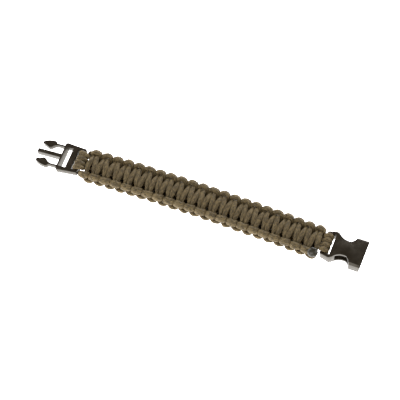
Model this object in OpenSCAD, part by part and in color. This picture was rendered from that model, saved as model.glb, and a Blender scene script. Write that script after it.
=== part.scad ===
// Woven cord bracelet with a side release buckle, lying open on a surface.
// X runs along the bracelet, from the prongs to the socket, Y is across it and Z is up.

/* [Weave] */
// Bars that cross the face of the weave
bar_count = 44; // [10:2:60]
// Distance from one bar to the next, mm
bar_pitch = 3.87; // [3.4:0.01:4.6]
// Sideways bow of the middle of the weave, mm
side_bow = 1.9; // [0:0.1:4]
// How far the weave's far edge is pulled back, mm for each mm across
weave_skew = 0.03; // [0:0.01:0.1]
// Height of the middle plane of the weave above the surface, mm
mid_height = 4.8; // [4.5:0.1:6]

/* [Cord] */
// Width of the cord where it turns round a buckle bar, mm
loop_cord = 3.6; // [3:0.1:4]
// Its thickness there, mm
loop_thickness = 2.5; // [2.2:0.1:3]
// Thickness of the squeezed cord inside the weave, mm
core_cord = 3; // [2.4:0.1:3.4]
// Distance between two loops that lie side by side, mm
loop_spacing = 3.8; // [3.6:0.1:4.2]
// Sides of a swept cord
cord_sides = 7; // [5:1:12]

/* [Prong half] */
// Length from the end bar's middle to the tip of the middle prong, mm
prong_reach = 31.4; // [28:0.1:34]
// Slope of the prong half down towards its tips, degrees
prong_tilt = 6; // [0:0.5:10]
// Turn of the prong half in the plane of the weave, degrees
prong_turn = 0.8; // [-4:0.2:4]
// Half the width of its frame, mm
frame_half_width = 11.1; // [9:0.1:12]
// Thickness of its frame, mm
frame_thickness = 3.8; // [3:0.1:5]
// Thickness of its front bar, mm
front_bar_thickness = 5; // [4:0.1:7]

/* [Socket half] */
// Length from the end bar's middle to the mouth, mm
socket_reach = 27.9; // [22:0.1:32]
// Turn of the socket half in the plane of the weave, degrees
socket_turn = 1.2; // [-4:0.2:4]
// Half its width at the mouth, mm
mouth_half_width = 10.9; // [9:0.1:12]
// Height of its body, mm
socket_height = 8.6; // [7:0.1:10]
// Height of the space that takes the prongs, mm
cavity_height = 5.2; // [4.4:0.1:6]

/* [Cord end] */
// Width of the melted end, mm
melted_width = 5.6; // [4:0.1:7]
// Thickness of the melted end, mm
melted_thickness = 3; // [2:0.1:4]

/* [Hidden] */

plastic_colour = [0.13, 0.11, 0.09];
cord_colour = [0.45, 0.39, 0.29];
melted_colour = [0.2, 0.19, 0.15];
round_steps = 48;
spare = 1;

// Places along X, from the first and last bars outwards
half_weave = bar_count * bar_pitch / 2;
first_knot = -half_weave + 0.8;
last_knot = first_knot + bar_count * bar_pitch;
prong_bar_x = -half_weave - 2.6;
socket_bar_x = half_weave + 5.6;
prong_bar_height = 5.3;
socket_bar_height = 5.3;
bar_height = 3;
prong_bar_depth = 1.9;
socket_bar_depth = 2.2;
weave_side = -0.2;
prong_side = -0.2;
socket_side = 0.5;

// Columns of a cord's table
along = 0;
across = 1;
up = 2;
wide = 3;
thick = 4;
lean = 5;

// One half knot of the strand that crosses the face, measured from its own place along X
// and from the middle plane: along, across, up, wide, thick, and how far the thickness leans
// out of upright, degrees
knot_rows = [
    [-0.16, -2.2, 3.20, 3.4, 3.1, 0],
    [-0.74, 2.2, 3.20, 3.4, 3.1, 0],
    [-1.00, 5.9, 2.60, 2.4, 2.6, 25],
    [-1.25, 7.5, 0.75, 1.9, 2.4, 45],
    [-1.10, 9.0, -1.60, 2.3, 3.5, 50],
    [1.20, 10.0, -2.85, 3.3, 4.7, 55],
    [3.75, 9.5, -2.75, 2.8, 4.2, 57],
    [4.85, 7.5, -1.25, 1.8, 2.4, 50],
    [4.20, 5.6, 1.40, 1.9, 2.4, 30],
];
row_count = len(knot_rows);
apex_row = 5;

// A loop round a bar, seen along the bar: place outwards and up as shares of the loop's
// reach, and the direction that the cord's back faces
loop_rows = [
    [0, 1, [0, 0, 1]],
    [0.75, 0.85, [0.6, 0, 0.8]],
    [1, 0.35, [1, 0, 0.2]],
    [1, -0.35, [1, 0, -0.2]],
    [0.75, -0.85, [0.6, 0, -0.8]],
    [0, -1, [0, 0, -1]],
];
loop_clearance = 0.1;

function bow_at(x) = weave_side + side_bow * max(0, 1 - pow(x / half_weave, 2));

function bow_slope(x) = -2 * side_bow * x / pow(half_weave, 2);

function unit(v) = v / norm(v);

// A row of a swept cord is a point, its width and thickness, and the way its back faces
function cord_row(x, y, z, width, thickness, back) = [[x, y, z], width, thickness, back];

// Row i of half knot k, on the face (turn 1) or turned over for the other strand (turn -1)
function knot_row(k, i, turn) =
    let (
        row = knot_rows[i],
        side = (k % 2 == 0) ? 1 : -1,
        x = first_knot + k * bar_pitch + row[along],
        aside = turn * side * row[across]
    )
    cord_row(
        x - aside * (bow_slope(x) + weave_skew), bow_at(x) + aside, mid_height + turn * row[up],
        row[wide], row[thick], [0, -side * sin(row[lean]), -cos(row[lean])]);

// A row given by its offset from the middle of the weave, at any place along X
function free_row(x, y, z, size, back) =
    cord_row(x, bow_at(x) + y, mid_height + z, size, size, back);

// Rows of a loop round an end bar, from over the bar to under it, outwards = -1 or 1
function loop_at(bar_x, bar_y, bar_z, bar_depth, outwards) =
    let (
        out = bar_depth / 2 + loop_thickness / 2 + loop_clearance,
        over = bar_height / 2 + loop_thickness / 2 + loop_clearance
    )
    [
        for (row = loop_rows)
            cord_row(
                bar_x + outwards * row[0] * out, bar_y, bar_z + row[1] * over,
                loop_cord, loop_thickness, [outwards * row[2][0], 0, row[2][2]])
    ];

function prong_loop(y) =
    loop_at(prong_bar_x - y * sin(prong_turn), prong_side + y, prong_bar_height, prong_bar_depth, -1);

function socket_loop(y) =
    loop_at(socket_bar_x - y * sin(socket_turn), socket_side + y, socket_bar_height, socket_bar_depth, 1);

// Where the back strand ends, and the way it points there
melted_at = [last_knot - 0.4, bow_at(last_knot) - 10.2, mid_height + 3.6];
end_heading = unit(melted_at - knot_row(bar_count, 3, -1)[0]);
end_reach = melted_thickness / 2 + 0.05;

function reversed(list) = [for (i = [len(list) - 1:-1:0]) list[i]];

function forward(rows, i) =
    unit(rows[min(i + 1, len(rows) - 1)][0] - rows[max(i - 1, 0)][0]);

function ring(rows, i) =
    let (
        heading = forward(rows, i),
        sideways = unit(cross(heading, rows[i][3])),
        back = cross(sideways, heading)
    )
    [
        for (s = [0:cord_sides - 1])
            let (angle = 360 * (s + 0.5) / cord_sides)
            rows[i][0] + sideways * cos(angle) * rows[i][1] / 2 + back * sin(angle) * rows[i][2] / 2
    ];

// A closed solid swept through rings of points, with flat ends
module swept_cord(rows) {
    last = len(rows) - 1;
    points = [for (i = [0:last]) each ring(rows, i)];
    sides = [
        for (i = [0:last - 1], s = [0:cord_sides - 1])
            let (next = (s + 1) % cord_sides, low = i * cord_sides, high = low + cord_sides)
            each [[low + s, low + next, high + next], [low + s, high + next, high + s]]
    ];
    start_cap = [for (s = [1:cord_sides - 2]) [0, s + 1, s]];
    end_first = last * cord_sides;
    end_cap = [for (s = [1:cord_sides - 2]) [end_first, end_first + s, end_first + s + 1]];
    polyhedron(points = points, faces = concat(sides, start_cap, end_cap), convexity = 10);
}

// The strand that makes every bar on the face. It starts tucked beside the core, goes over
// and round the prong half's bar, and ends behind the last bump.
module face_strand() {
    outer = loop_spacing * 1.5;
    start = [
        free_row(prong_bar_x + 4.6, 4.4, 1.0, 2.2, [0, 0, 1]),
        free_row(prong_bar_x + 3.0, 5.0, 2.8, 2.7, [0, 0, 1]),
    ];
    onto_bump = [
        free_row(prong_bar_x + 2.6, 7.8, -2.8, 2.7, [0, 0, -1]),
        for (i = [apex_row:row_count - 1]) knot_row(0, i, 1),
    ];
    knots = [
        for (k = [1:bar_count], i = [0:row_count - 1])
            if (k < bar_count || i < apex_row) knot_row(k, i, 1)
    ];
    finish = [free_row(last_knot + 0.8, 9.9, -2.6, 2.6, [0, 0, -1])];
    color(cord_colour)
        swept_cord(concat(start, prong_loop(outer), onto_bump, knots, finish));
}

// The same strand turned over: its bars cross the back, its bumps cover the face strand
module back_strand() {
    outer = loop_spacing * 1.5;
    start = [
        free_row(prong_bar_x + 4.6, -4.4, 1.0, 2.2, [0, 0, 1]),
        free_row(prong_bar_x + 3.0, -5.0, 2.8, 2.7, [0, 0, 1]),
    ];
    onto_bump = [
        free_row(prong_bar_x + 1.9, -6.7, -2.6, 2.6, [0, 0, -1]),
        free_row(prong_bar_x + 2.9, -8.6, -0.5, 2.5, [0, 0, -1]),
        for (i = [apex_row:row_count - 1]) knot_row(0, i, -1),
    ];
    knots = [
        for (k = [1:bar_count], i = [0:row_count - 1])
            if (k < bar_count || i < apex_row - 1) knot_row(k, i, -1)
    ];
    finish = [cord_row(
        melted_at[0] - end_reach * end_heading[0], melted_at[1] - end_reach * end_heading[1],
        melted_at[2] - end_reach * end_heading[2], 2.8, 2.8, [0, 0, -1])];
    color(cord_colour)
        swept_cord(concat(start, prong_loop(-outer), onto_bump, knots, finish));
}

// One of the two cords inside the weave, with a loop round each end bar
module core_cord_with_loops(side) {
    inner = side * loop_spacing / 2;
    core_y = side * (core_cord / 2 + 0.05);
    prong_tail = [free_row(prong_bar_x + 3.4, inner, -2.5, 2.4, [0, 0, -1])];
    into_core = [
        free_row(prong_bar_x + 2.4, inner, 2.8, 2.6, [0, 0, 1]),
        free_row(prong_bar_x + 4.6, core_y, 0, core_cord, [0, 0, 1]),
    ];
    core = [for (k = [2:8:bar_count - 2]) free_row(first_knot + k * bar_pitch, core_y, 0, core_cord, [0, 0, 1])];
    out_of_core = [
        free_row(socket_bar_x - 4.0, core_y, -0.4, 2.2, [0, 0, 1]),
        free_row(socket_bar_x - 2.2, inner, 2.6, 1.9, [0, 0, 1]),
    ];
    socket_tail = [free_row(socket_bar_x - 2.9, inner, -2.4, 2.3, [0, 0, -1])];
    swept_cord(concat(
        prong_tail, reversed(prong_loop(inner)), into_core, core,
        out_of_core, socket_loop(inner), socket_tail));
}

// The outer turn of the core cord over the socket half's bar, tucked in at both ends
module outer_turn(side) {
    outer = side * loop_spacing * 1.5;
    rows = concat(
        [free_row(socket_bar_x - 2.4, side * 5.0, 1.2, 1.8, [0, 0, 1]),
         free_row(socket_bar_x - 1.8, side * 5.4, 2.8, 2.2, [0, 0, 1])],
        socket_loop(outer),
        [free_row(socket_bar_x - 2.4, side * 5.4, -2.4, 2.3, [0, 0, -1])]);
    swept_cord(rows);
}

module core_strands() {
    color(cord_colour)
        for (side = [-1, 1]) {
            core_cord_with_loops(side);
            outer_turn(side);
        }
}

// A domed, flattened blob on the end of the back strand, facing the way that the cord ends
module melted_end() {
    dome = melted_thickness / 2;
    rim = melted_width / 2 - dome;
    color(melted_colour)
        translate(melted_at)
            rotate([0, acos(end_heading[2]), atan2(end_heading[1], end_heading[0])])
                rotate_extrude($fn = round_steps) {
                    translate([0, -dome])
                        square([rim, melted_thickness]);
                    intersection() {
                        translate([rim, 0])
                            circle(dome, $fn = round_steps);
                        translate([rim, -dome])
                            square([dome, melted_thickness]);
                    }
                }
}

// A flat bar along Y with rounded front and back edges, about the origin
module rounded_bar(depth, height, half_length) {
    rise = (height - depth) / 2;
    rotate([90, 0, 0])
        linear_extrude(2 * half_length, center = true) {
            square([depth, 2 * rise], center = true);
            for (end = [-1, 1])
                translate([0, end * rise])
                    circle(depth / 2, $fn = round_steps);
        }
}

// Points of an arc from one angle to another about a centre
function arc(centre, radius, from, to, steps) = [
    for (i = [0:steps])
        let (angle = from + (to - from) * i / steps)
        centre + radius * [cos(angle), sin(angle)]
];

// Outline of a side arm with its arrow-shaped head, on the +Y side of the prong half
arm_root_x = -14;
arm_outline = concat(
    [[arm_root_x, 8.8], [-20.4, 8.7], [-21.3, 10.1]],
    arc([-22.4, -3.25], 13.57, 90, 122, 8),
    [[0.8 - prong_reach, 7.2], [-29.6, 6.3], [-25.0, 4.4]],
    arc([-18.6, 2.6], 5.0, 150, 90, 8),
    [[arm_root_x, 7.5]]);

module side_arm() {
    linear_extrude(3.2, center = true)
        polygon(arm_outline);
}

// Side view of the front bar: its inner wall slopes, so that it is thicker below
module front_bar_profile(front, top_depth, foot_depth) {
    polygon([
        [-front, frame_thickness / 2], [-front, frame_thickness / 2 - front_bar_thickness],
        [foot_depth - front, frame_thickness / 2 - front_bar_thickness],
        [top_depth - front, frame_thickness / 2]]);
}

// The half with the prongs: a frame with two slots, a middle prong and two side arms
module prong_half() {
    frame_front = 14.5;
    frame_back = prong_bar_depth / 2;
    taper = 1.2;
    inner_half = 8;
    cord_slot = 3.1;
    front_slot = 5.3;
    middle_bar = 4.1;
    front_slot_back = frame_back + cord_slot + middle_bar;
    front_bar = frame_front - front_slot_back - front_slot;
    prong_half_width = 1.4;
    prong_height = 4;
    color(plastic_colour)
        translate([prong_bar_x, prong_side, prong_bar_height])
            rotate([0, 0, prong_turn])
            rotate([0, -prong_tilt, 0]) {
                difference() {
                    linear_extrude(frame_thickness, center = true)
                        polygon([
                            [frame_back, taper - frame_half_width], [frame_back, frame_half_width - taper],
                            [1 - frame_front, frame_half_width], [-frame_front, frame_half_width - 0.9],
                            [-frame_front, 0.9 - frame_half_width], [1 - frame_front, -frame_half_width]]);
                    translate([-frame_back - cord_slot, -inner_half, -frame_thickness])
                        cube([2 * frame_back + cord_slot + spare, 2 * inner_half, 2 * frame_thickness]);
                    translate([-front_slot_back - front_slot, -inner_half, -frame_thickness])
                        cube([front_slot, 2 * inner_half, 2 * frame_thickness]);
                }
                rounded_bar(prong_bar_depth, bar_height, inner_half + 0.5);
                rotate([90, 0, 0])
                    linear_extrude(2 * inner_half + 1, center = true)
                        front_bar_profile(frame_front, front_bar, front_bar + 1.3);
                translate([-prong_reach, -prong_half_width, -prong_height / 2])
                    cube([prong_reach - frame_front + front_bar / 2, 2 * prong_half_width, prong_height]);
                side_arm();
                mirror([0, 1, 0])
                    side_arm();
            }
}

// The half that takes the prongs: a hollow body with open sides, two ears and an end bar
ear_half_width = 10.5;
ear_back = -1.5;
slot_end = 5.0;
mouth_block_x = 19.6;
mouth_undercut = 1.4;
socket_outline_half = concat(
    arc([ear_back + 1.4, ear_half_width - 2.6], 1.4, 180, 110, 5),
    arc([4.9, ear_half_width - 1.7], 1.7, 110, 40, 6),
    arc([14.5, 14.9], 9.2, 216, 282, 12),
    [[mouth_block_x - 1.1, 8.3], [mouth_block_x, mouth_half_width], [socket_reach, mouth_half_width]]);

module socket_outline() {
    for (side = [0, 1])
        mirror([0, side])
            polygon(concat([[ear_back, 0]], socket_outline_half, [[socket_reach, 0]]));
}

module socket_half() {
    inner_half = 7.9;
    cavity_half = 8.2;
    cavity_x = 8.6;
    roof = (socket_height - cavity_height) / 2;
    color(plastic_colour)
        translate([socket_bar_x, socket_side, 0])
            rotate([0, 0, socket_turn]) {
            difference() {
                intersection() {
                    linear_extrude(socket_height)
                        socket_outline();
                    // Side view: thin at the ears, full height from the slot to the undercut mouth
                    rotate([90, 0, 0])
                        linear_extrude(2 * mouth_half_width + 4, center = true)
                            polygon([
                                [ear_back - spare, 1.6], [3, 1.2], [9, 0],
                                [socket_reach - mouth_undercut, 0], [socket_reach, socket_height],
                                [10, socket_height], [4, 7.6], [ear_back - spare, 7.2]]);
                    // Front view: long edges cut at a slant
                    rotate([90, 0, 90])
                        linear_extrude(3 * socket_reach, center = true)
                            polygon([
                                [-mouth_half_width, 0.9], [-9.8, 0], [9.8, 0], [mouth_half_width, 0.9],
                                [mouth_half_width, 7.2], [9.5, socket_height], [-9.5, socket_height],
                                [-mouth_half_width, 7.2]]);
                }
                // Slot for the cord, with the end bar left out and put back below
                translate([ear_back - spare, -inner_half, -spare])
                    cube([slot_end - ear_back + spare, 2 * inner_half, socket_height + 2 * spare]);
                translate([cavity_x, -cavity_half, roof])
                    cube([socket_reach - cavity_x + spare, 2 * cavity_half, cavity_height]);
            }
            translate([0, 0, socket_bar_height])
                rounded_bar(socket_bar_depth, bar_height, inner_half + 0.5);
        }
}

prong_half();
socket_half();
face_strand();
back_strand();
core_strands();
melted_end();
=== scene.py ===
# Woven cord bracelet with a side release buckle, lying open on a pale light table.
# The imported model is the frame: the strands, the melted end and the rounded buckle
# halves stand where its solids are.
import math

import bpy
import numpy as np
from mathutils import Matrix, Vector


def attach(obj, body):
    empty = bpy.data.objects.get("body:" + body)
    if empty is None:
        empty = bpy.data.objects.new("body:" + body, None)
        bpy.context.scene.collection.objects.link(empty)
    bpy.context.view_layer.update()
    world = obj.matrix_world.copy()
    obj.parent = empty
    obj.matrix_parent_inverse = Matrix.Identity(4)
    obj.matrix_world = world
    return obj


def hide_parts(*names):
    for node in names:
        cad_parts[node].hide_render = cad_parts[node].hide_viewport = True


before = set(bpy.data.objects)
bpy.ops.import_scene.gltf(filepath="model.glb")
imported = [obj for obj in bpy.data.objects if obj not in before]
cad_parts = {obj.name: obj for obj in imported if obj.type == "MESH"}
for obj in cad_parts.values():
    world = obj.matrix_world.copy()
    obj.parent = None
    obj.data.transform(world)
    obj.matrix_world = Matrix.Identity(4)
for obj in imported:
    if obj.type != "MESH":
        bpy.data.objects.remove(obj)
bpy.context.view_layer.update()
mm = 0.001


# Where the photograph was taken from
view = {
    "azimuth": 21.3,
    "elevation": 59.9,
    "lens": 270.0,
    "sensor": 36.0,
    "imageSide": 400,
    "lookAt": (0.55, -0.2, 4.8),  # a point inside the weave, mm
    "lookAtPixel": (200.7, 203.1),  # where that point is seen
    "pixelsPerMm": 1.472,
}


def makeCamera():
    azimuth = math.radians(view["azimuth"])
    elevation = math.radians(view["elevation"])
    flat = math.cos(elevation)
    towards = Vector((math.sin(azimuth) * flat, -math.cos(azimuth) * flat, math.sin(elevation)))
    right = Vector((math.cos(azimuth), math.sin(azimuth), 0))
    up = towards.cross(right)
    middle = view["imageSide"] / 2
    asideMm = (view["lookAtPixel"][0] - middle) / view["pixelsPerMm"]
    belowMm = (view["lookAtPixel"][1] - middle) / view["pixelsPerMm"]
    aim = (Vector(view["lookAt"]) - right * asideMm + up * belowMm) * mm
    focalPixels = view["lens"] / view["sensor"] * view["imageSide"]
    distance = focalPixels / view["pixelsPerMm"] * mm
    bpy.ops.object.camera_add(
        location=aim + towards * distance,
        rotation=towards.to_track_quat("Z", "Y").to_euler())
    camera = bpy.context.active_object
    camera.name = "camera"
    camera.data.lens = view["lens"]
    camera.data.sensor_width = view["sensor"]
    bpy.context.scene.camera = camera
    print("camera", round(distance, 3), "m away")


def startClean():
    if bpy.context.mode != "OBJECT":
        bpy.ops.object.mode_set(mode="OBJECT")
    bpy.ops.object.select_all(action="DESELECT")


def makeActive(piece):
    startClean()
    piece.select_set(True)
    bpy.context.view_layer.objects.active = piece


def wear(piece, material):
    piece.data.materials.clear()
    piece.data.materials.append(material)


# The weave's sizes in millimetres, the same as the solids'
weave = {
    "barCount": 44,
    "barPitch": 3.87,
    "sideBow": 1.9,
    "skew": 0.03,  # how far the far edge is pulled back, for each mm across
    "midHeight": 4.8,
    "weaveSide": -0.2,
    "firstKnotInset": 0.8,
    "coreCord": 3.0,
    "coreGap": 0.1,
    "coreRowEvery": 8,  # bars from one row of the core's table to the next
}
halfWeave = weave["barCount"] * weave["barPitch"] / 2
firstKnot = -halfWeave + weave["firstKnotInset"]
lastKnot = firstKnot + weave["barCount"] * weave["barPitch"]
coreAside = (weave["coreCord"] + weave["coreGap"]) / 2

# One half knot, measured from its own place along X and from the middle plane
knot = {
    # along, across, up, width, thickness, lean of the thickness from upright in degrees
    "rows": [
        (-0.16, -2.2, 3.20, 3.5, 3.1, 0),
        (-0.74, 2.2, 3.20, 3.5, 3.1, 0),
        (-1.00, 5.7, 2.55, 2.8, 2.8, 25),
        (-1.05, 7.3, 0.65, 2.2, 2.9, 45),
        (-0.95, 9.4, -2.05, 2.6, 4.3, 53),
        (0.60, 9.8, -2.70, 3.3, 4.7, 55),
        (2.70, 9.8, -2.75, 3.3, 4.7, 55),
        (4.05, 9.5, -2.55, 2.8, 4.5, 55),
        (4.50, 7.9, -0.60, 2.5, 4.1, 50),
        (4.15, 5.8, 1.65, 2.6, 3.1, 30),
    ],
    "apexRow": 5,  # at the outside of a bump, where the first knot starts
}

# The two bars that the cord loops round, and the loops
prongBar = {
    "x": -halfWeave - 2.6,
    "side": -0.2,
    "depth": 1.9,
    "turn": 0.8,  # degrees
    "outwards": -1,
}
socketBar = {
    "x": halfWeave + 5.6,
    "side": 0.5,
    "depth": 2.2,
    "turn": 1.2,  # degrees
    "outwards": 1,
}
loop = {
    "barMiddle": 5.3,
    "barTall": 3.0,
    "cord": 3.75,
    "thickness": 2.55,
    "spacing": 3.8,
    "clearance": 0.1,
    # shares of its reach outwards and up, and where the cord's back faces
    "rows": [
        (0, 1, (0, 0, 1)),
        (0.75, 0.85, (0.6, 0, 0.8)),
        (1, 0.35, (1, 0, 0.2)),
        (1, -0.35, (1, 0, -0.2)),
        (0.75, -0.85, (0.6, 0, -0.8)),
        (0, -1, (0, 0, -1)),
    ],
}
# Four loops lie side by side on each bar
outerLoop = loop["spacing"] * 1.5
innerLoop = loop["spacing"] / 2
upwards = (0, 0, 1)
downwards = (0, 0, -1)

# Cord that runs free between loops, knots and core, on the far side of the middle:
# along from its bar or knot, across, up, size and where the cord's back faces
freeCord = {
    "strandStart": [(4.6, 4.4, 1.0, 2.4, upwards), (3.0, 5.0, 2.8, 3.0, upwards)],
    "toFaceKnots": [(2.6, 7.8, -2.8, 2.8, downwards)],
    "toBackKnots": [(1.9, 6.7, -2.6, 2.6, downwards), (2.9, 8.6, -0.5, 2.6, downwards)],
    "faceFinish": [(0.8, 9.9, -2.6, 2.6, downwards)],
    "coreStart": [(3.4, innerLoop, -2.5, 2.6, downwards)],
    "intoCore": [
        (2.4, innerLoop, 2.8, 2.9, upwards),
        (4.6, coreAside, 0, weave["coreCord"], upwards),
    ],
    "alongCore": [(0, coreAside, 0, weave["coreCord"], upwards)],
    "outOfCore": [(-4.0, coreAside, -0.4, 2.4, upwards), (-2.2, innerLoop, 2.6, 2.4, upwards)],
    "coreFinish": [(-2.9, innerLoop, -2.4, 2.5, downwards)],
    "turnStart": [(-2.4, 5.0, 1.2, 2.0, upwards), (-1.8, 5.4, 2.8, 2.6, upwards)],
    "turnFinish": [(-2.4, 5.4, -2.4, 2.5, downwards)],
}


def bowAt(x):
    return weave["weaveSide"] + weave["sideBow"] * max(0, 1 - (x / halfWeave) ** 2)


def bowSlope(x):
    return -2 * weave["sideBow"] * x / halfWeave ** 2


def cordRow(x, y, z, width, thickness, back):
    return (x, y, z, width, thickness) + tuple(back)


# Row i of half knot k, on the face (turn 1) or turned over for the back (turn -1)
def knotRow(k, i, turn):
    along, across, up, width, thickness, lean = knot["rows"][i]
    side = 1 if k % 2 == 0 else -1
    x = firstKnot + k * weave["barPitch"] + along
    aside = turn * side * across
    back = (0, -side * math.sin(math.radians(lean)), -math.cos(math.radians(lean)))
    return cordRow(x - aside * (bowSlope(x) + weave["skew"]), bowAt(x) + aside,
                   weave["midHeight"] + turn * up, width, thickness, back)


def knotRows(turn, stopRow):
    rowCount = len(knot["rows"])
    rows = [knotRow(0, i, turn) for i in range(knot["apexRow"], rowCount)]
    for k in range(1, weave["barCount"]):
        rows += [knotRow(k, i, turn) for i in range(rowCount)]
    return rows + [knotRow(weave["barCount"], i, turn) for i in range(stopRow)]


def freeRows(name, startX, side):
    return [
        cordRow(startX + along, bowAt(startX + along) + side * across,
                weave["midHeight"] + up, size, size, back)
        for along, across, up, size, back in freeCord[name]
    ]


def loopRows(bar, y):
    x = bar["x"] - y * math.sin(math.radians(bar["turn"]))
    outwards = bar["outwards"]
    reach = (bar["depth"] + loop["thickness"]) / 2 + loop["clearance"]
    rise = (loop["barTall"] + loop["thickness"]) / 2 + loop["clearance"]
    return [
        cordRow(x + outwards * out * reach, bar["side"] + y, loop["barMiddle"] + up * rise,
                loop["cord"], loop["thickness"], (outwards * back[0], 0, back[2]))
        for out, up, back in loop["rows"]
    ]


def faceRoute():
    return (freeRows("strandStart", prongBar["x"], 1)
            + loopRows(prongBar, outerLoop)
            + freeRows("toFaceKnots", prongBar["x"], 1)
            + knotRows(1, knot["apexRow"])
            + freeRows("faceFinish", lastKnot, 1))


def backRoute():
    finish = Vector(meltedEnd["at"]) - endHeading() * meltedEnd["overCord"]
    cord = meltedEnd["cord"]
    return (freeRows("strandStart", prongBar["x"], -1)
            + loopRows(prongBar, -outerLoop)
            + freeRows("toBackKnots", prongBar["x"], -1)
            + knotRows(-1, meltedEnd["lastRow"] + 1)
            + [cordRow(finish.x, finish.y, finish.z, cord, cord, downwards)])


def coreRoute(side):
    rows = freeRows("coreStart", prongBar["x"], side)
    rows += loopRows(prongBar, side * innerLoop)[::-1]
    rows += freeRows("intoCore", prongBar["x"], side)
    for k in range(2, weave["barCount"] - 1, weave["coreRowEvery"]):
        rows += freeRows("alongCore", firstKnot + k * weave["barPitch"], side)
    rows += freeRows("outOfCore", socketBar["x"], side)
    rows += loopRows(socketBar, side * innerLoop)
    return rows + freeRows("coreFinish", socketBar["x"], side)


def turnRoute(side):
    return (freeRows("turnStart", socketBar["x"], side)
            + loopRows(socketBar, side * outerLoop)
            + freeRows("turnFinish", socketBar["x"], side))


# How the strands are drawn. The solids are held apart, and the real cords press together,
# so the drawn cord is a little fuller. A hand tied cord isn't perfectly even either.
cordLook = {
    "sides": 18,
    "ringSpacing": 0.3,  # mm
    "curveSteps": 5,  # steps of the smooth route for each ring
    "fullness": 1.03,
    "squareness": 2.15,  # 2 is round, more is squarer
    "domeLength": 1.3,
    "lowest": 0.02,  # mm above the surface
    "weldMm": 0.005,
    "looseness": 0.09,  # mm either way
    "loosenessUp": 0.5,  # share of that in height
    "swelling": 0.02,  # share of its size either way
    "seeds": {"face": 11, "back": 12, "cores": (13, 15), "turns": (17, 19)},
}


# Each row is nudged, the same way on every run
def loosen(rows, seed):
    chance = np.random.RandomState(seed)
    loose = []
    for row in rows:
        nudge = chance.normal(0, cordLook["looseness"], 3)
        swell = 1 + chance.normal(0, cordLook["swelling"])
        loose.append((row[0] + nudge[0], row[1] + nudge[1],
                      row[2] + nudge[2] * cordLook["loosenessUp"],
                      row[3] * swell, row[4] * swell) + tuple(row[5:]))
    return loose


# A smooth curve through the rows, cut into even steps
def smoothRows(rows, spacing):
    table = np.array(rows, float)
    steps = np.linalg.norm(np.diff(table[:, :3], axis=0), axis=1)
    at = np.concatenate([[0], np.cumsum(steps)])
    slope = np.diff(table, axis=0) / steps[:, None]
    tangent = np.vstack([slope[:1], np.zeros((len(rows) - 2, table.shape[1])), slope[-1:]])
    before = steps[:-1, None]
    after = steps[1:, None]
    tangent[1:-1] = (slope[:-1] * after + slope[1:] * before) / (before + after)
    fine = np.arange(0, at[-1], spacing / cordLook["curveSteps"])
    span = np.clip(np.searchsorted(at, fine, side="right") - 1, 0, len(steps) - 1)
    t = ((fine - at[span]) / steps[span])[:, None]
    length = steps[span][:, None]
    curve = ((2 * t ** 3 - 3 * t ** 2 + 1) * table[span]
             + (t ** 3 - 2 * t ** 2 + t) * length * tangent[span]
             + (3 * t ** 2 - 2 * t ** 3) * table[span + 1]
             + (t ** 3 - t ** 2) * length * tangent[span + 1])
    walked = np.concatenate([[0], np.cumsum(np.linalg.norm(np.diff(curve[:, :3], axis=0), axis=1))])
    rings = int(walked[-1] / spacing)
    even = np.linspace(0, walked[-1], rings)
    smooth = np.stack([np.interp(even, walked, column) for column in curve.T], 1)
    return smooth, walked[-1]


def unitRows(vectors):
    return vectors / np.linalg.norm(vectors, axis=1, keepdims=True)


# Rings of points round the route, closing in a dome at both ends
def cordRings(smooth, length):
    points = smooth[:, :3]
    heading = unitRows(np.gradient(points, axis=0))
    sideways = unitRows(np.cross(heading, smooth[:, 5:8]))
    back = np.cross(sideways, heading)
    walked = np.linspace(0, length, len(smooth))
    fromEnd = np.minimum(walked, length - walked) / cordLook["domeLength"]
    dome = np.sqrt(1 - np.clip(1 - fromEnd, 0, 1) ** 2)
    angle = np.linspace(0, 2 * np.pi, cordLook["sides"] + 1)
    power = 2 / cordLook["squareness"]
    across = np.sign(np.cos(angle)) * np.abs(np.cos(angle)) ** power
    upward = np.sign(np.sin(angle)) * np.abs(np.sin(angle)) ** power
    halfWidth = smooth[:, 3] / 2 * cordLook["fullness"] * dome
    halfThick = smooth[:, 4] / 2 * cordLook["fullness"] * dome
    places = (points[:, None, :]
              + sideways[:, None, :] * (halfWidth[:, None] * across)[:, :, None]
              + back[:, None, :] * (halfThick[:, None] * upward)[:, :, None])
    # The cord's own weight presses it flat on the surface
    places[:, :, 2] = np.maximum(places[:, :, 2], cordLook["lowest"])
    return places


# A flat grid is rolled up round the route. Its own UV map then runs round the cord (0 to 1)
# and along it in millimetres.
def rollCord(name, rows):
    smooth, length = smoothRows(rows, cordLook["ringSpacing"])
    startClean()
    bpy.ops.mesh.primitive_grid_add(
        x_subdivisions=cordLook["sides"], y_subdivisions=len(smooth) - 1, size=1)
    cord = bpy.context.active_object
    cord.name = name
    cord.data.name = name
    cord.data.vertices.foreach_set("co", (cordRings(smooth, length) * mm).ravel())
    uvLayer = cord.data.uv_layers[0]
    uv = np.zeros(len(uvLayer.data) * 2)
    uvLayer.data.foreach_get("uv", uv)
    uv[1::2] *= length
    uvLayer.data.foreach_set("uv", uv)

    bpy.ops.object.mode_set(mode="EDIT")
    bpy.ops.mesh.select_all(action="SELECT")
    bpy.ops.mesh.remove_doubles(threshold=cordLook["weldMm"] * mm)
    bpy.ops.mesh.normals_make_consistent(inside=False)
    bpy.ops.object.mode_set(mode="OBJECT")
    bpy.ops.object.shade_smooth()
    print(name, round(length / 1000, 3), "m of cord,", len(cord.data.polygons), "faces")
    return cord


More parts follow.
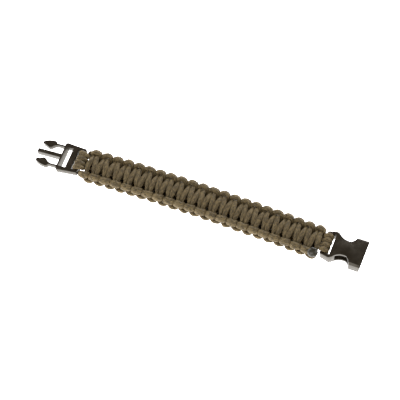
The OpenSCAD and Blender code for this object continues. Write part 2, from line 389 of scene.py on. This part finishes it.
def makeStrands(material):
    seeds = cordLook["seeds"]
    face = rollCord("faceStrand", loosen(faceRoute(), seeds["face"]))
    behind = rollCord("backStrand", loosen(backRoute(), seeds["back"]))
    cores = [
        rollCord("coreCord", loosen(coreRoute(side), seed))
        for side, seed in zip((-1, 1), seeds["cores"])
    ]
    turns = [
        rollCord("outerTurn", loosen(turnRoute(side), seed))
        for side, seed in zip((-1, 1), seeds["turns"])
    ]
    startClean()
    for cord in cores + turns:
        cord.select_set(True)
    bpy.context.view_layer.objects.active = cores[0]
    bpy.ops.object.join()
    core = cores[0]
    core.name = "coreStrands"
    for cord in (face, behind, core):
        wear(cord, material)
    return face, behind, core


# The melted end of the back strand, a flattened and lumpy ball
meltedEnd = {
    "at": (lastKnot - 0.8, bowAt(lastKnot) - 10.1, weave["midHeight"] + 3.5),
    "width": 7.2,
    "narrowShare": 0.94,
    "thickness": 3.4,
    "segments": 48,
    "rings": 32,
    "lastRow": 3,  # where the cord leaves the last half knot
    "cord": 3.2,  # size of the cord that runs into it
    "overCord": 0.6,  # how far its middle lies past the end of that cord
    "lumpShare": 0.044,
    "broadWaves": (1.7, 1.3),  # radians for each mm in X and Y
    "broadStarts": (0.6, -0.4),
    "fineWaves": (2.9, 1.1),  # radians for each mm in Y and Z
    "fineShare": 0.4,
}


def endHeading():
    last = knotRow(weave["barCount"], meltedEnd["lastRow"], -1)
    return (Vector(meltedEnd["at"]) - Vector(last[:3])).normalized()


def lumpAt(x, y, z):
    waveX, waveY = meltedEnd["broadWaves"]
    startX, startY = meltedEnd["broadStarts"]
    fineY, fineZ = meltedEnd["fineWaves"]
    broad = math.sin(waveX * x + startX) * math.cos(waveY * y + startY)
    return broad + meltedEnd["fineShare"] * math.sin(fineY * y + fineZ * z)


def makeMeltedEnd(material):
    startClean()
    bpy.ops.mesh.primitive_uv_sphere_add(
        segments=meltedEnd["segments"], ring_count=meltedEnd["rings"], radius=1)
    blob = bpy.context.active_object
    blob.name = "meltedEnd"
    halfWidth = meltedEnd["width"] / 2
    blob.scale = (halfWidth, halfWidth * meltedEnd["narrowShare"], meltedEnd["thickness"] / 2)
    bpy.ops.object.transform_apply(location=False, rotation=False, scale=True)
    for vertex in blob.data.vertices:
        vertex.co = vertex.co * (1 + meltedEnd["lumpShare"] * lumpAt(*vertex.co))
    blob.rotation_euler = endHeading().to_track_quat("Z", "Y").to_euler()
    blob.location = Vector(meltedEnd["at"])
    bpy.ops.object.transform_apply(location=True, rotation=True, scale=True)
    blob.data.transform(Matrix.Scale(mm, 4))
    bpy.ops.object.shade_smooth()
    wear(blob, material)
    print("meltedEnd", len(blob.data.polygons), "faces")
    return blob


# The buckle halves are the solids with their edges rounded as a mould leaves them
edges = {
    "radius": 0.35,
    "segments": 3,
    "sharpAngle": 28,  # an edge that turns more than this is rounded
    "smoothAngle": 35,
    "flatAngle": 0.4,  # faces that turn less than this become one
    "weldMm": 0.002,
}


def roundedCopy(nodeName, pieceName, material):
    piece = bpy.data.objects.new(pieceName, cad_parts[nodeName].data.copy())
    bpy.context.scene.collection.objects.link(piece)
    makeActive(piece)
    bpy.ops.object.mode_set(mode="EDIT")
    bpy.ops.mesh.select_all(action="SELECT")
    bpy.ops.mesh.remove_doubles(threshold=edges["weldMm"] * mm)
    bpy.ops.mesh.dissolve_limited(angle_limit=math.radians(edges["flatAngle"]))
    bpy.ops.object.mode_set(mode="OBJECT")
    bevel = piece.modifiers.new("edges", "BEVEL")
    bevel.width = edges["radius"] * mm
    bevel.segments = edges["segments"]
    bevel.limit_method = "ANGLE"
    bevel.angle_limit = math.radians(edges["sharpAngle"])
    bevel.miter_outer = "MITER_ARC"
    bpy.ops.object.modifier_apply(modifier=bevel.name)
    bpy.ops.object.shade_smooth_by_angle(angle=math.radians(edges["smoothAngle"]))
    wear(piece, material)
    print(pieceName, len(piece.data.polygons), "faces")
    return piece


def addNode(tree, kind, **settings):
    node = tree.nodes.new("ShaderNode" + kind)
    for name, value in settings.items():
        setattr(node, name, value)
    return node


def feed(tree, socket, value):
    if isinstance(value, bpy.types.NodeSocket):
        tree.links.new(value, socket)
    else:
        socket.default_value = value


def calculate(tree, operation, first, second=0.0, third=0.0):
    node = addNode(tree, "Math", operation=operation)
    for socket, value in zip(node.inputs, (first, second, third)):
        feed(tree, socket, value)
    return node.outputs[0]


# Rises and falls once as share goes from 0 to 1
def halfWave(tree, share):
    return calculate(tree, "SINE", calculate(tree, "MULTIPLY", share, math.pi))


def pair(tree, x, y):
    node = addNode(tree, "CombineXYZ")
    tree.links.new(x, node.inputs[0])
    tree.links.new(y, node.inputs[1])
    return node.outputs[0]


def clouds(tree, scale, detail):
    where = addNode(tree, "TexCoord")
    noise = addNode(tree, "TexNoise")
    noise.inputs["Scale"].default_value = scale
    noise.inputs["Detail"].default_value = detail
    tree.links.new(where.outputs["Object"], noise.inputs["Vector"])
    return noise.outputs["Fac"]


def spread(tree, value, limits):
    node = addNode(tree, "MapRange")
    tree.links.new(value, node.inputs["Value"])
    for socketName, limit in limits.items():
        node.inputs[socketName].default_value = limit
    return node.outputs["Result"]


def newMaterial(name, finish):
    material = bpy.data.materials.new(name)
    material.use_nodes = True
    tree = material.node_tree
    shader = tree.nodes["Principled BSDF"]
    for socketName, value in finish["shader"].items():
        shader.inputs[socketName].default_value = value
    return material, tree, shader


def giveColour(tree, shader, share, finish):
    mix = addNode(tree, "Mix", data_type="RGBA")
    mix.inputs["A"].default_value = finish["dark"]
    mix.inputs["B"].default_value = finish["light"]
    tree.links.new(share, mix.inputs["Factor"])
    tree.links.new(mix.outputs["Result"], shader.inputs["Base Color"])


def giveRelief(tree, shader, height, finish):
    bump = addNode(tree, "Bump")
    bump.inputs["Strength"].default_value = finish["reliefStrength"]
    bump.inputs["Distance"].default_value = finish["reliefMm"] * mm
    tree.links.new(height, bump.inputs["Height"])
    tree.links.new(bump.outputs["Normal"], shader.inputs["Normal"])


# Braided nylon: columns of short slanted stitches that lean one way and then the other
sheath = {
    "columns": 14,
    "stitchLength": 1.15,
    "slant": 0.75,
    "stagger": 0.25,  # shift of every second column, in stitches
    "flatness": 0.6,
    "filaments": (2.0, 9.0),  # across a column and along a stitch
    "filamentDetail": 2.0,
    "filamentRelief": 0.25,
    "chanceInShade": 0.65,
    # painted shade: how much darker the hollows between the stitches are coloured than their crests
    "paintedHollowShade": 0.45,
    "dark": (0.020, 0.014, 0.006, 1),
    "light": (0.218, 0.156, 0.068, 1),
    "reliefStrength": 0.8,
    "reliefMm": 0.16,
    "shader": {
        "Roughness": 0.62,
        "Specular IOR Level": 0.35,
        "Sheen Weight": 0.25,
        "Sheen Roughness": 0.4,
        "Sheen Tint": (0.72, 0.58, 0.37, 1),
    },
}


def braidedSheath():
    material, tree, shader = newMaterial("braidedSheath", sheath)
    uv = addNode(tree, "UVMap", uv_map="UVMap")
    split = addNode(tree, "SeparateXYZ")
    tree.links.new(uv.outputs["UV"], split.inputs[0])

    # Columns run along the cord, and every second one leans the other way
    columns = calculate(tree, "MULTIPLY", split.outputs["X"], sheath["columns"])
    column = calculate(tree, "FLOOR", columns)
    acrossColumn = calculate(tree, "FRACT", columns)
    parity = calculate(tree, "MODULO", column, 2.0)
    lean = calculate(tree, "MULTIPLY_ADD", parity, -2.0, 1.0)
    leaning = calculate(tree, "MULTIPLY", acrossColumn, lean)
    slanted = calculate(tree, "MULTIPLY", leaning, sheath["slant"])

    # Stitches follow one another along each column
    along = calculate(tree, "DIVIDE", split.outputs["Y"], sheath["stitchLength"])
    shifted = calculate(tree, "MULTIPLY", parity, sheath["stagger"])
    stitches = calculate(tree, "ADD", calculate(tree, "ADD", along, slanted), shifted)
    stitch = calculate(tree, "FLOOR", stitches)
    ridge = halfWave(tree, calculate(tree, "FRACT", stitches))
    pillow = halfWave(tree, acrossColumn)
    domed = calculate(tree, "MULTIPLY", ridge, pillow)
    height = calculate(tree, "POWER", domed, sheath["flatness"])

    # Each stitch has its own tone at random, and painted shade makes the hollows between the
    # stitches darker than their crests
    chance = addNode(tree, "TexWhiteNoise", noise_dimensions="2D")
    tree.links.new(pair(tree, column, stitch), chance.inputs["Vector"])
    paintedHollowShadeAmount = calculate(tree, "MULTIPLY", height, sheath["paintedHollowShade"])
    toneAndPaintedShade = calculate(
        tree, "MULTIPLY_ADD", chance.outputs["Value"], sheath["chanceInShade"], paintedHollowShadeAmount)
    giveColour(tree, shader, toneAndPaintedShade, sheath)

    # The filaments of each stitch
    filaments = addNode(tree, "TexNoise", noise_dimensions="2D")
    filaments.inputs["Scale"].default_value = 1.0
    filaments.inputs["Detail"].default_value = sheath["filamentDetail"]
    filamentsAcross = calculate(tree, "MULTIPLY", columns, sheath["filaments"][0])
    filamentsAlong = calculate(tree, "MULTIPLY", stitches, sheath["filaments"][1])
    tree.links.new(pair(tree, filamentsAcross, filamentsAlong), filaments.inputs["Vector"])
    relief = calculate(
        tree, "MULTIPLY_ADD", filaments.outputs["Fac"], sheath["filamentRelief"], height)
    giveRelief(tree, shader, relief, sheath)
    return material


# Moulded buckle plastic, very dark brown with a fine satin grain
plastic = {
    "dark": (0.017, 0.012, 0.0065, 1),
    "light": (0.034, 0.026, 0.017, 1),
    "cloud": 180.0,
    "cloudDetail": 5.0,
    "shadeLimits": {"From Min": 0.45, "From Max": 0.8},
    "roughnessLimits": {"To Min": 0.26, "To Max": 0.42},
    "grain": 2600.0,
    "grainDetail": 3.0,
    "reliefStrength": 0.25,
    "reliefMm": 0.05,
    "shader": {"Specular IOR Level": 0.6, "Specular Tint": (1.0, 0.93, 0.8, 1)},
}


def mouldedPlastic():
    material, tree, shader = newMaterial("mouldedPlastic", plastic)
    cloud = clouds(tree, plastic["cloud"], plastic["cloudDetail"])
    grain = clouds(tree, plastic["grain"], plastic["grainDetail"])
    giveColour(tree, shader, spread(tree, cloud, plastic["shadeLimits"]), plastic)
    roughness = spread(tree, cloud, plastic["roughnessLimits"])
    tree.links.new(roughness, shader.inputs["Roughness"])
    giveRelief(tree, shader, grain, plastic)
    return material


# Nylon that has melted and set: dark, with a smooth and slightly cloudy skin
nylon = {
    "dark": (0.022, 0.019, 0.013, 1),
    "light": (0.055, 0.048, 0.034, 1),
    "cloud": 420.0,
    "cloudDetail": 4.0,
    "reliefStrength": 0.15,
    "reliefMm": 0.1,
    "shader": {
        "Roughness": 0.3,
        "Specular IOR Level": 0.35,
        "Coat Weight": 0.15,
        "Coat Roughness": 0.1,
    },
}


def meltedNylon():
    material, tree, shader = newMaterial("meltedNylon", nylon)
    cloud = clouds(tree, nylon["cloud"], nylon["cloudDetail"])
    giveColour(tree, shader, cloud, nylon)
    giveRelief(tree, shader, cloud, nylon)
    return material


# A white light table under soft boxes
studio = {
    "floorSize": 6.0,
    "floor": {
        "shader": {
            "Base Color": (0.86, 0.86, 0.85, 1),
            "Roughness": 0.9,
            "Emission Color": (1, 1, 1, 1),
            "Emission Strength": 3.0,
        },
    },
    "worldColour": (1, 1, 1, 1),
    "worldLight": 0.1,
    "lampSize": 1.2,
    # place in metres and power in watts
    "lamps": {
        "leftLamp": ((-1.7, -0.2, 1.0), 24.0),
        "rightLamp": ((1.5, 0.1, 1.1), 14.0),
        "frontLamp": ((-0.3, -1.7, 0.9), 14.0),
        "farLamp": ((0.1, 1.9, 0.6), 33.0),
    },
}


def makeStudio():
    startClean()
    bpy.ops.mesh.primitive_plane_add(size=studio["floorSize"])
    floor = bpy.context.active_object
    floor.name = "floor"
    wear(floor, newMaterial("lightTable", studio["floor"])[0])
    for name, (place, power) in studio["lamps"].items():
        bpy.ops.object.light_add(type="AREA", location=place)
        lamp = bpy.context.active_object
        lamp.name = name
        lamp.data.size = studio["lampSize"]
        lamp.data.energy = power
        lamp.rotation_euler = Vector(place).to_track_quat("Z", "Y").to_euler()
    world = bpy.data.worlds.new("studio")
    bpy.context.scene.world = world
    world.use_nodes = True
    background = world.node_tree.nodes["Background"]
    background.inputs["Color"].default_value = studio["worldColour"]
    background.inputs["Strength"].default_value = studio["worldLight"]
    bpy.context.scene.view_settings.view_transform = "Standard"
    print("studio ready with", len(studio["lamps"]), "lamps")


def main():
    makeCamera()
    makeStudio()
    sheathMaterial = braidedSheath()
    plasticMaterial = mouldedPlastic()
    nylonMaterial = meltedNylon()
    print("materials ready")
    face, behind, core = makeStrands(sheathMaterial)
    blob = makeMeltedEnd(nylonMaterial)
    prongs = roundedCopy("prong_half", "prongHalf", plasticMaterial)
    socket = roundedCopy("socket_half", "socketHalf", plasticMaterial)
    pieces = [
        (face, "face_strand", "cord_sheath"),
        (behind, "back_strand", "cord_sheath"),
        (core, "core_strands", "cord_sheath"),
        (blob, "melted_end", "melted_nylon"),
        (prongs, "prong_half", "buckle_plastic"),
        (socket, "socket_half", "buckle_plastic"),
    ]
    for piece, node, slotName in pieces:
        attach(piece, "root")
        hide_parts(node)
    print("pieces ready:", len(pieces))


main()
